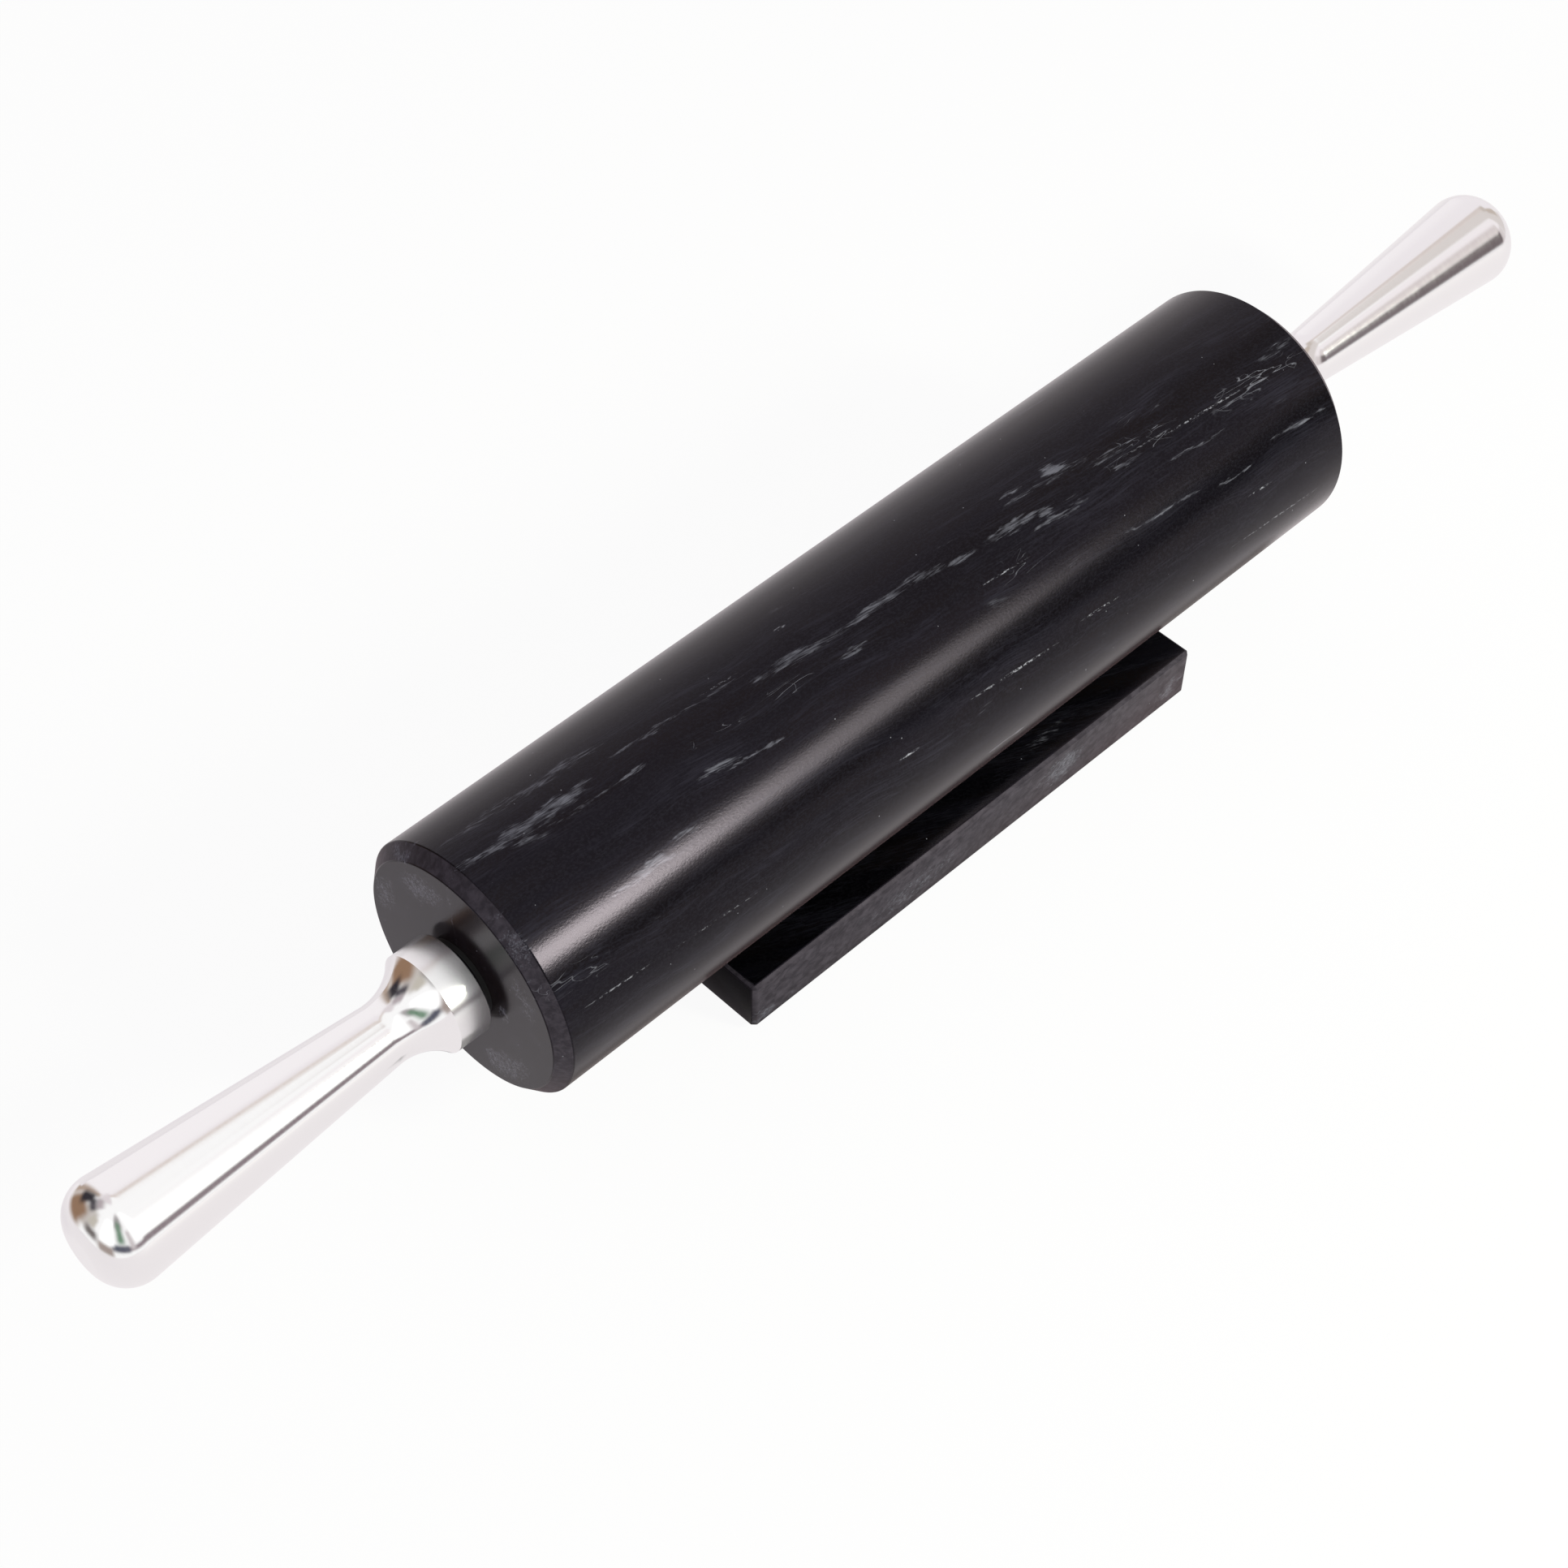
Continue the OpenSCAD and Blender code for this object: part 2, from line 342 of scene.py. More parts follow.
class StonePattern:
    """Layers of markings in one stone, all measured from the same beds.

    Widths and reaches are in millimetres.
    """

    stray_per_mm: Triple = (0.09, 0.28, 0.28)
    stray_reach: Triple = (16.0, 5.0, 5.0)
    thread_depth: float = 2.6
    outline_depth: float = 2.2
    flecks_per_mm: float = 0.2

    def __init__(self, tree: bpy.types.NodeTree, bed: FlatBed, markings: tuple[Marking, ...],
                 seed: float) -> None:
        """Lay out the places that every layer shares.

        Args:
            tree: The material's node tree.
            bed: The stone's beds.
            markings: The listed markings.
            seed: Offset that sets this stone apart from another.
        """
        self.tree = tree
        self.markings = markings
        self.seed = seed
        self.place = bed.place(tree)
        self.bed = bed.along_bed(tree, self.place)
        self.face = bed.on_face(tree, self.place)
        self.strayed_face = self.strayed(self.face)
        self.polish = bed.polish(tree, self.place)

    def strayed(self, face: Socket) -> Socket:
        """Let the listed markings' outlines stray by a millimetre or two, as natural ones do.

        Args:
            face: Place that the markings are measured in.

        Returns:
            The same place, strayed.
        """
        place = add(self.tree, VECTOR_MATH, {0: self.bed, 1: self.stray_per_mm}, operation="MULTIPLY")
        waves = add(self.tree, "ShaderNodeTexNoise", {
            "Vector": place, "Scale": 1.0, "Detail": 4.0, "Roughness": 0.65}).node.outputs["Color"]
        centred = add(self.tree, VECTOR_MATH, {0: waves, 1: NOISE_MIDDLE}, operation="SUBTRACT")
        return add(self.tree, VECTOR_MATH, {
            0: centred, 1: self.stray_reach, 2: face}, operation="MULTIPLY_ADD")

    def grain(self, width: float, stretch: float, layer: float, detail: float = 2.0,
              fold: float = 0.0) -> Socket:
        """Make noise that follows the stone's beds.

        Args:
            width: Width of one feature across the beds in millimetres.
            stretch: How many times longer a feature is along them.
            layer: Offset that sets this layer apart from the others.
            detail: Octaves of finer noise.
            fold: How far the noise is folded on itself.

        Returns:
            Socket with a value from 0 to 1.
        """
        across = 1.0 / width
        shift = self.seed * 7.0 + layer * 3.1
        place = add(self.tree, VECTOR_MATH, {
            0: self.bed, 1: (across / stretch, across, across), 2: (shift, shift * 0.7, -shift),
        }, operation="MULTIPLY_ADD")
        return add(self.tree, "ShaderNodeTexNoise", {
            "Vector": place, "Scale": 1.0, "Detail": detail, "Roughness": 0.6, "Distortion": fold})

    def stretch_out(self, value: Socket, start: float, end: float, top: float = 1.0) -> Socket:
        """Map a value smoothly from one limit to the other.

        Args:
            value: Value to map.
            start: Value that gives 0.
            end: Value that gives the top.
            top: The most that the result can be.

        Returns:
            Socket from 0 to the top.
        """
        return add(self.tree, MAP_RANGE, {
            "Value": value, "From Min": start, "From Max": end, "To Max": top,
        }, interpolation_type="SMOOTHSTEP")

    def listed(self, kind: Mark, face: Socket, also: Union[Socket, float] = 0.0) -> Union[Socket, float]:
        """Gather the listed markings of one kind.

        Args:
            kind: Kind of marking.
            face: Place that the markings are measured in, straight or strayed.
            also: Field that is kept wherever it is stronger than the listed markings.

        Returns:
            Each marking's strength in its middle, and 0 past its edge.
        """
        field = also
        for mark in self.markings:
            if mark.kind is not kind:
                continue
            inverse = tuple(1.0 / r if r else 0.0 for r in mark.reach)
            shift = tuple(-m * i for m, i in zip(mark.middle, inverse))
            scaled = add(self.tree, VECTOR_MATH, {
                0: face, 1: inverse, 2: shift}, operation="MULTIPLY_ADD")
            away = add(self.tree, VECTOR_MATH, {0: scaled}, operation="LENGTH")
            rise = self.stretch_out(away, 1.0, 0.25, mark.strength)
            field = add(self.tree, MATH, {0: field, 1: rise}, operation="MAXIMUM")
        return field

    def torn(self, field: Socket, fine: Socket, rough: Socket, start: float, end: float) -> Socket:
        """Tear a field's edges and middle with two noises.

        Args:
            field: Field from 0 to 1.
            fine: Noise for its fine threads.
            rough: Noise for its outline.
            start: Value at which the result begins to show.
            end: Value at which it is full.

        Returns:
            Socket from 0 to 1, and 0 wherever the field is.
        """
        threads = add(self.tree, MATH, {
            0: fine, 1: self.thread_depth, 2: -self.thread_depth / 2}, operation="MULTIPLY_ADD")
        both = add(self.tree, MATH, {0: rough, 1: self.outline_depth, 2: threads}, operation="MULTIPLY_ADD")
        value = add(self.tree, MATH, {0: field, 1: both}, operation="ADD")
        middle = self.outline_depth / 2
        shown = self.stretch_out(value, start + middle, end + middle)
        inside = self.stretch_out(field, 0.0, 0.4)
        return add(self.tree, MATH, {0: shown, 1: inside}, operation="MULTIPLY")

    def threads(self) -> Socket:
        """Draw faint grey threads along the beds, gathered in bands.

        Returns:
            Socket from 0 to 1 that tells how plainly the threads show.
        """
        fine = self.grain(0.4, 24.0, layer=1.0, detail=3.0, fold=0.3)
        bands = self.grain(5.0, 8.0, layer=2.0, fold=0.5)
        both = add(self.tree, MATH, {0: fine, 1: bands}, operation="MULTIPLY")
        return self.stretch_out(both, 0.22, 0.5)

    def clouds(self) -> Socket:
        """Draw ragged pale patches: the listed ones, and a few more all round the stone.

        Returns:
            Socket from 0 to 1 that tells how plainly the patches show.
        """
        rare = self.stretch_out(self.grain(5.0, 6.0, layer=9.0, fold=0.4), 0.64, 0.84, 0.6)
        field = self.listed(Mark.CLOUD, self.strayed_face, rare)
        fine = self.grain(0.35, 16.0, layer=13.0)
        rough = self.grain(1.1, 4.0, layer=17.0, detail=3.0, fold=0.5)
        return self.torn(field, fine, rough, 0.12, 1.6)

    def crackle(self) -> Socket:
        """Draw thin curling veins where the stone has cracked and healed.

        Returns:
            Socket from 0 to 1 that tells how plainly the veins show.
        """
        line = 0.0
        for width, stretch, layer, fold, top in ((2.4, 9.0, 21.0, 0.3, 0.8), (6.0, 2.2, 49.0, 0.8, 0.4)):
            folded = self.grain(width, stretch, layer, detail=1.5, fold=fold)
            centred = add(self.tree, MATH, {0: folded, 1: 0.5}, operation="SUBTRACT")
            ridge = add(self.tree, MATH, {0: centred}, operation="ABSOLUTE")
            here = self.stretch_out(ridge, 0.009, 0.001, top)
            line = add(self.tree, MATH, {0: line, 1: here}, operation="MAXIMUM")
        rare = self.stretch_out(self.grain(14.0, 2.5, layer=25.0), 0.68, 0.82, 0.6)
        field = self.listed(Mark.CRACKLE, self.strayed_face, rare)
        fine, rough = self.grain(2.4, 3.0, layer=29.0), self.grain(5.0, 2.5, layer=33.0)
        share = self.torn(field, fine, rough, 0.1, 1.0)
        return add(self.tree, MATH, {0: line, 1: share}, operation="MULTIPLY")

    def dashes(self) -> Socket:
        """Draw hair-thin broken lines of white calcite, and single flecks of it.

        Returns:
            Socket from 0 to 1 that tells how plainly the calcite shows.
        """
        dot = add(self.tree, "ShaderNodeTexVoronoi", {"Vector": self.place, "Scale": self.flecks_per_mm})
        flecks = self.stretch_out(dot, 0.038, 0.015, 0.8)
        field = self.listed(Mark.DASHES, self.face)
        broken = self.stretch_out(self.grain(0.5, 2.4, layer=37.0), 0.47, 0.64)
        line = add(self.tree, MATH, {0: field, 1: broken}, operation="MULTIPLY")
        return add(self.tree, MATH, {0: flecks, 1: line}, operation="MAXIMUM")

    def ground(self) -> Socket:
        """Spread the mottled bloom that grinding leaves on the chamfers and cuts.

        Returns:
            Socket from 0 to 1 that tells how plainly the bloom shows.
        """
        cut = add(self.tree, MATH, {0: 1.0, 1: self.polish}, operation="SUBTRACT")
        mottle = self.stretch_out(self.grain(1.7, 2.0, layer=41.0, detail=4.0, fold=0.4), 0.3, 0.75)
        level = add(self.tree, MATH, {0: mottle, 1: 0.6, 2: 0.35}, operation="MULTIPLY_ADD")
        return add(self.tree, MATH, {0: cut, 1: level}, operation="MULTIPLY")


@dataclass(frozen=True)
class Marble:
    """Black marble: a dense limestone with drawn-out pale clouds, fine calcite veins and flecks.

    Sawn, ground and waxed stone has a near-black body under a soft gloss, with duller grey chamfers.
    The gloss is lower than a fully polished stone's, because fine open pores break it up. A trace of wax
    lifts the glancing angles with a soft warm sheen.
    """

    name: str
    bed: FlatBed
    markings: tuple[Marking, ...]
    body: str = "#020203"
    blue_veil: str = "#08080e"
    brown_veil: str = "#0b0808"
    crystal: str = "#121217"
    thread: str = "#202028"
    bloom: str = "#46424a"
    pale: str = "#6b6c77"
    vein: str = "#7a7b86"
    calcite: str = "#9c9da8"
    gloss_tint: str = "#f5e4ff"
    wax: str = "#ffd4da"
    waxed: float = 0.14
    wax_roughness: float = 0.3
    roughness: float = 0.2
    ground_roughness: float = 0.5
    ior: float = 1.486
    gloss: float = 0.16
    pore_width: float = 0.45
    pore_strength: float = 0.6
    pore_depth: float = 0.02 * MM
    seed: float = 3.0

    def build(self) -> bpy.types.Material:
        """Build the stone's material, one layer of markings over another.

        Returns:
            The material.
        """
        material, tree, shader = new_material(self.name)
        pattern = StonePattern(tree, self.bed, self.markings, self.seed)
        brown = pattern.grain(8.0, 9.0, layer=5.0, fold=0.5)
        blue = pattern.grain(5.0, 12.0, layer=7.0, fold=0.5)
        crystals = pattern.grain(0.5, 1.5, layer=53.0, detail=1.0)
        layers = (
            (pattern.stretch_out(brown, 0.35, 0.7), self.brown_veil),
            (pattern.stretch_out(blue, 0.4, 0.75), self.blue_veil),
            (pattern.stretch_out(crystals, 0.38, 0.72), self.crystal),
            (pattern.threads(), self.thread),
            (pattern.ground(), self.bloom),
            (pattern.clouds(), self.pale),
            (pattern.crackle(), self.vein),
            (pattern.dashes(), self.calcite),
        )
        colour = linear(self.body)
        for share, shade in layers:
            colour = add(tree, "ShaderNodeMix", {
                "Factor": share, "A": colour, "B": linear(shade)}, data_type="RGBA")
        tree.links.new(colour, shader.inputs["Base Color"])
        rough = add(tree, MAP_RANGE, {
            "Value": pattern.polish, "To Min": self.ground_roughness, "To Max": self.roughness})
        tree.links.new(rough, shader.inputs["Roughness"])
        for name, value in (
                ("IOR", self.ior), ("Specular IOR Level", self.gloss),
                ("Specular Tint", linear(self.gloss_tint)), ("Sheen Weight", self.waxed),
                ("Sheen Roughness", self.wax_roughness), ("Sheen Tint", linear(self.wax))):
            shader.inputs[name].default_value = value
        pores = pattern.grain(self.pore_width, 1.6, layer=45.0, detail=1.0)
        bump = add(tree, "ShaderNodeBump", {
            "Height": pores, "Strength": self.pore_strength, "Distance": self.pore_depth})
        tree.links.new(bump, shader.inputs["Normal"])
        return material


@dataclass(frozen=True)
class TurnedMetal:
    """Bare metal turned on a lathe, with fine rings round its axis that polishing has left or taken away.

    The rings stretch every reflection along the axis. A length left unpolished is duller still.
    """

    name: str
    colour: str
    roughness: float
    ring_mm: float
    ring_depth: float
    stretch: float = 0.0
    unpolished: Optional[Point] = None
    unpolished_roughness: float = 0.24
    edge: float = 0.2 * MM
    waves_per_m: float = 350.0
    deepest: float = 0.01 * MM

    def build(self) -> bpy.types.Material:
        """Build the metal's material.

        Returns:
            The material.
        """
        material, tree, shader = new_material(self.name)
        shader.inputs["Base Color"].default_value = linear(self.colour)
        shader.inputs["Metallic"].default_value = 1.0
        shader.inputs["Anisotropic"].default_value = self.stretch
        shader.inputs["Anisotropic Rotation"].default_value = 0.25
        place = add(tree, "ShaderNodeTexCoord").node.outputs["Object"]
        repeats = (1 / (self.ring_mm * MM), self.waves_per_m, self.waves_per_m)
        rings = add(tree, VECTOR_MATH, {0: place, 1: repeats}, operation="MULTIPLY")
        marks = add(tree, "ShaderNodeTexNoise", {"Vector": rings, "Scale": 1.0, "Detail": 3.0})
        rough = add(tree, MAP_RANGE, {
            "Value": marks, "From Min": 0.3, "From Max": 0.7,
            "To Min": self.roughness * 0.8, "To Max": self.roughness * 1.2})
        if self.unpolished is not None:
            start, end = self.unpolished
            lengthwise = add(tree, "ShaderNodeSeparateXYZ", {"Vector": place})
            along = add(tree, MATH, {0: lengthwise}, operation="ABSOLUTE")
            past = add(tree, MATH, {0: along, 1: (start + end) / 2}, operation="SUBTRACT")
            away = add(tree, MATH, {0: past}, operation="ABSOLUTE")
            half = (end - start) / 2
            share = add(tree, MAP_RANGE, {
                "Value": away, "From Min": half + self.edge, "From Max": half - self.edge})
            rough = add(tree, "ShaderNodeMix", {
                "Factor": share, "A": rough, "B": self.unpolished_roughness})
        tree.links.new(rough, shader.inputs["Roughness"])
        round_it = add(tree, "ShaderNodeTangent", direction_type="RADIAL", axis="X")
        tree.links.new(round_it, shader.inputs["Tangent"])
        bump = add(tree, "ShaderNodeBump", {
            "Height": marks, "Strength": self.ring_depth, "Distance": self.deepest})
        tree.links.new(bump, shader.inputs["Normal"])
        return material


@dataclass(frozen=True)
class MouldedPolymer:
    """Moulded nylon or rubber: one dark colour, with a fine moulded texture that scatters its gloss."""

    name: str
    colour: str
    light_colour: str
    roughness: float
    grit_mm: float
    ior: float = 1.53
    grit_strength: float = 0.3
    grit_depth: float = 0.03 * MM

    def build(self) -> bpy.types.Material:
        """Build the polymer's material.

        Returns:
            The material.
        """
        material, tree, shader = new_material(self.name)
        place = add(tree, "ShaderNodeTexCoord").node.outputs["Object"]
        grit = add(tree, "ShaderNodeTexNoise", {
            "Vector": place, "Scale": 1 / (self.grit_mm * MM), "Detail": 3.0})
        share = add(tree, MAP_RANGE, {"Value": grit, "From Min": 0.35, "From Max": 0.7})
        colour = add(tree, "ShaderNodeMix", {
            "Factor": share, "A": linear(self.colour), "B": linear(self.light_colour)}, data_type="RGBA")
        tree.links.new(colour, shader.inputs["Base Color"])
        shader.inputs["Roughness"].default_value = self.roughness
        shader.inputs["IOR"].default_value = self.ior
        bump = add(tree, "ShaderNodeBump", {
            "Height": grit, "Strength": self.grit_strength, "Distance": self.grit_depth})
        tree.links.new(bump, shader.inputs["Normal"])
        return material


@dataclass(frozen=True)
class Corner:
    """Corner of a turned outline: place along the axis, radius, and the radius that rounds it off."""

    along: float
    out: float
    round: float = 0.0


def arc(centre: Point, radius: float, start_deg: float, end_deg: float, steps: int) -> list[Point]:
    """Make points on an arc.

    Args:
        centre: Centre of the arc, along and out from the axis.
        radius: Radius of the arc.
        start_deg: Angle of the first point, from the axis towards the outside.
        end_deg: Angle of the last point.
        steps: Number of steps between them.

    Returns:
        The points, from start to end.
    """
    points = []
    for i in range(steps + 1):
        angle = math.radians(start_deg + (end_deg - start_deg) * i / steps)
        points.append((centre[0] + radius * math.cos(angle), centre[1] + radius * math.sin(angle)))
    return points


def rounded(corners: list[Corner], steps: int = 5, hold: float = 0.08 * MM) -> list[Point]:
    """Round the corners of an outline.

    Args:
        corners: The outline's corners in order.
        steps: Number of steps in each rounding.
        hold: Distance past each rounding of a further point that keeps the straight beside it flat.

    Returns:
        The outline's points.
    """
    points: list[Point] = []
    count = len(corners)
    for i, corner in enumerate(corners):
        here = Vector((corner.along, corner.out))
        if corner.round <= 0:
            points.append((here.x, here.y))
            continue
        back = (Vector((corners[i - 1].along, corners[i - 1].out)) - here).normalized()
        ahead = (Vector((corners[(i + 1) % count].along, corners[(i + 1) % count].out)) - here).normalized()
        half = back.angle(ahead) / 2
        reach = corner.round / math.tan(half)
        middle = here + (back + ahead).normalized() * corner.round / math.sin(half)
        first = here + back * reach - middle
        sweep = first.angle_signed(here + ahead * reach - middle)
        run = [middle + Matrix.Rotation(-sweep * k / steps, 2) @ first for k in range(steps + 1)]
        run = [run[0] + back * hold] + run + [run[-1] + ahead * hold]
        points += [(p.x, p.y) for p in run]
    return points


def plain_piece(source: bpy.types.Object, name: str, sharp_deg: float) -> bpy.types.Object:
    """Turn an object with live modifiers into a plain mesh object.

    Args:
        source: Object with modifiers, which is removed.
        name: Name of the finished piece.
        sharp_deg: Edges that turn by more than this stay sharp.

    Returns:
        The finished piece, at the origin.
    """
    bpy.context.view_layer.update()
    evaluated = source.evaluated_get(bpy.context.evaluated_depsgraph_get())
    mesh = bpy.data.meshes.new_from_object(evaluated)
    bpy.data.objects.remove(source, do_unlink=True)
    shell = bmesh.new()
    shell.from_mesh(mesh)
    bmesh.ops.remove_doubles(shell, verts=shell.verts, dist=0.001 * MM)
    bmesh.ops.recalc_face_normals(shell, faces=shell.faces)
    for surface in shell.faces:
        surface.smooth = True
    shell.to_mesh(mesh)
    shell.free()
    mesh.set_sharp_from_angle(angle=math.radians(sharp_deg))
    mesh.name = name
    return into_scene(name, mesh)


def hand_over(piece: bpy.types.Object, body: Body, slot: str, *nodes: str) -> bpy.types.Object:
    """Tie a finished piece to its body and to the nodes that it stands for.

    Args:
        piece: The finished piece.
        body: Body that the piece rides on.
        slot: The record's material slot; not used.
        nodes: CAD nodes that the piece replaces.

    Returns:
        The same piece.
    """
    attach(piece, body.value)
    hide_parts(*nodes)
    faces = len(piece.data.polygons)
    LOG.info("%s: %d faces, on %s, for %s", piece.name, faces, body.value, ", ".join(nodes))
    return piece


class Lathe:
    """Turns outlines into closed round pieces about the pin's axis with one Geometry Nodes tree."""

    def __init__(self, axis_height: float) -> None:
        """Build the tree once, with its sizes as named inputs.

        Args:
            axis_height: Height of the pin's axis above the ground.
        """
        self.axis_height = axis_height
        self.core = 0.5 * MM
        self.tree, self.keys = piece_tree("turned_outline", {
            "Outline": "Geometry", "Segments": "Int", "Core Radius": "Float", "Axis Height": "Float",
            "Finish": "Material"}, "Piece")
        given = add(self.tree, "NodeGroupInput").node.outputs
        outline = add(self.tree, "GeometryNodeMeshToCurve", {"Mesh": given["Outline"]})
        ring = add(self.tree, "GeometryNodeCurvePrimitiveCircle", {
            "Resolution": given["Segments"], "Radius": given["Core Radius"]}, mode="RADIUS")
        swept = add(self.tree, "GeometryNodeCurveToMesh", {"Curve": ring, "Profile Curve": outline})
        lift = add(self.tree, "ShaderNodeCombineXYZ", {"Z": given["Axis Height"]})
        laid = add(self.tree, "GeometryNodeTransform", {
            "Geometry": swept, "Translation": lift, "Rotation": (0.0, math.radians(90), 0.0)})
        real = add(self.tree, "GeometryNodeRealizeInstances", {"Geometry": laid})
        dressed = add(self.tree, "GeometryNodeSetMaterial", {"Geometry": real, "Material": given["Finish"]})
        add(self.tree, "NodeGroupOutput", {"Piece": dressed})

    def turn(self, name: str, outline: list[Point], closed: bool, segments: int,
             finish: bpy.types.Material) -> bpy.types.Object:
        """Turn one outline about the axis.

        Args:
            name: Name of the piece.
            outline: Points of the outline, along and out from the axis.
            closed: Whether the outline closes on itself, as a ring's does.
            segments: Steps around the axis.
            finish: Material of the piece.

        Returns:
            The piece as a plain mesh object at the origin.
        """
        mesh = bpy.data.meshes.new(f"{name}_outline")
        edges = [(i, i + 1) for i in range(len(outline) - 1)]
        if closed:
            edges.append((len(outline) - 1, 0))
        mesh.from_pydata([(out - self.core, -along, 0.0) for along, out in outline], edges, [])
        blank = into_scene(f"{name}_outline", mesh)
        modifier = blank.modifiers.new("lathe", "NODES")
        modifier.node_group = self.tree
        for key, value in (("Segments", segments), ("Core Radius", self.core),
                           ("Axis Height", self.axis_height), ("Finish", finish)):
            modifier[self.keys[key]] = value
        return plain_piece(blank, name, sharp_deg=35.0)


@dataclass
class PinSizes:
    """Sizes that the pieces share, in metres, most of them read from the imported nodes."""

    axis_height: float
    roller_radius: float
    roller_half: float
    flange_face: float
    flange_radius: float
    washer_radius: float
    handle_start: float
    handle_end: float
    bore_radius: float = 8.0 * MM
    rod_radius: float = 5.0 * MM

    @classmethod
    def from_frame(cls) -> "PinSizes":
        """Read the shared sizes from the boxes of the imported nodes.

        Returns:
            The sizes.
        """
        low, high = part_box("marble_roller")
        bush_low, bush_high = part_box("right_bush")
        washer_low, washer_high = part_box("right_washer")
        handle_low, handle_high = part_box("right_handle")
        return cls(
            axis_height=(low.z + high.z) / 2,
            roller_radius=(high.z - low.z) / 2,
            roller_half=(high.x - low.x) / 2,
            flange_face=bush_high.x,
            flange_radius=(bush_high.y - bush_low.y) / 2,
            washer_radius=(washer_high.y - washer_low.y) / 2,
            handle_start=handle_low.x,
            handle_end=handle_high.x,
        )


@dataclass
class StoneRoller:
    """The marble roller with the bushes in its ends."""

    sizes: PinSizes
    lathe: Lathe
    chamfer: float = 3.1 * MM
    edge_round: float = 0.35 * MM
    bush_length: float = 20.0 * MM
    running_gap: float = 0.05 * MM
    seat_gap: float = 0.01 * MM
    segments: int = 256

    def stone(self) -> bpy.types.Material:
        """Dress the roller's stone with the markings that its visible side has.

        Returns:
            The roller's marble.
        """
        s = self.sizes
        half = (s.roller_half / MM, s.roller_radius / MM, s.roller_radius / MM)
        bed = RolledBed((0.0, 0.0, s.axis_height / MM), half, radius=s.roller_radius / MM)
        listed = {
            Mark.CLOUD: (
                (-106, -16, 54, 5.4, 0.4), (-89, -14.5, 20, 4.4, 0.55), (-110, -1.5, 50, 4.2, 0.65),
                (-97, -1.5, 20, 3.4, 1.0), (-66, -2.5, 60, 1.8, 0.5), (-94, 5.5, 44, 2.0, 0.45),
                (-82, 6.5, 9, 1.8, 0.8), (-34, 7, 44, 4.6, 0.5), (-11, 9.5, 26, 2.8, 0.7),
                (-23, 19.5, 8, 1.8, 0.7), (3, 10.5, 18, 3.2, 0.6), (13, 13.5, 13, 2.8, 0.85),
                (29, 16, 24, 3.2, 0.75), (38, 19, 9, 3.6, 0.95), (44, 8, 40, 3.4, 0.45),
                (48, 5.5, 11, 4.6, 1.1), (36, 2.5, 7, 1.8, 0.9), (60, 15, 18, 3.6, 0.5),
                (64, 21, 13, 2.4, 0.65), (118, 20, 16, 4.0, 0.5), (-66, 24.5, 16, 2.4, 0.8),
                (-57, 28.5, 15, 1.3, 0.9), (-92, 40, 26, 3.4, 0.8), (-80, 37.5, 12, 2.4, 0.8),
                (40, 23.5, 30, 2.0, 0.45), (82, 33.5, 30, 1.4, 0.6), (64, 47.5, 36, 1.3, 0.6),
                (88, 54, 16, 1.2, 0.65), (112, 52.5, 28, 1.8, 0.7), (8, 101, 16, 2.6, 0.55),
                (-127, -36, 8, 16, 0.9, 30.2, 6), (-127, 30, 8, 24, 0.6, 30.2, 6),
                (-127, -30, 9, 30, 0.75, 22, 12), (-127, -75, 9, 24, 0.65, 25, 9),
                (-127, 60, 9, 24, 0.55, 23, 9), (-127, 150, 9, 44, 0.65, 23, 11),
                (127, 20, 3, 36, 0.6, 21, 9), (127, -120, 3, 44, 0.5, 24, 10),
                (-127, 92, 4, 18, 1.0, 13, 5),
            ),
            Mark.CRACKLE: (
                (-42, 16, 24, 5, 0.6), (-61, 14, 26, 3, 0.5), (24, 31, 26, 9, 0.6), (68, 19, 48, 9, 0.8),
                (104, 25.5, 56, 9, 0.8), (74, 7, 18, 6, 0.5), (-119, 56, 24, 8, 0.7),
            ),
            Mark.DASHES: (
                (19, 29, 18, 0.5, 1.0), (90, 24, 34, 0.7, 0.9), (72, 20.5, 18, 0.7, 0.5),
                (9, 65.6, 34, 0.8, 1.0), (-24, 67, 7, 0.8, 1.0), (38, 66.5, 14, 0.8, 1.0),
                (94, 67, 10, 0.7, 0.8), (-110, 71.5, 22, 0.6, 0.7), (-82, 75.5, 30, 0.6, 0.45),
                (100, 87.5, 40, 0.8, 0.5), (-52, -3, 12, 0.6, 0.7), (-31, -8.3, 4, 1.2, 1.0),
            ),
        }
        markings = tuple(bed.marking(kind, *mark) for kind, marks in listed.items() for mark in marks)
        return Marble("honed_black_marble_roller", bed, markings).build()

    def roller(self) -> bpy.types.Object:
        """Turn the stone barrel with its chamfered ends and its through bore.

        Returns:
            The roller.
        """
        s = self.sizes
        ends = (
            Corner(-s.roller_half, s.bore_radius, 0.3 * MM),
            Corner(-s.roller_half, s.roller_radius - self.chamfer, self.edge_round),
            Corner(self.chamfer - s.roller_half, s.roller_radius, self.edge_round),
        )
        mirrored = [Corner(-c.along, c.out, c.round) for c in reversed(ends)]
        outline = rounded([*ends, *mirrored], 6)
        piece = self.lathe.turn("stone_roller", outline, True, self.segments, self.stone())
        return hand_over(piece, Body.ROLLER, "roller_marble", "marble_roller")

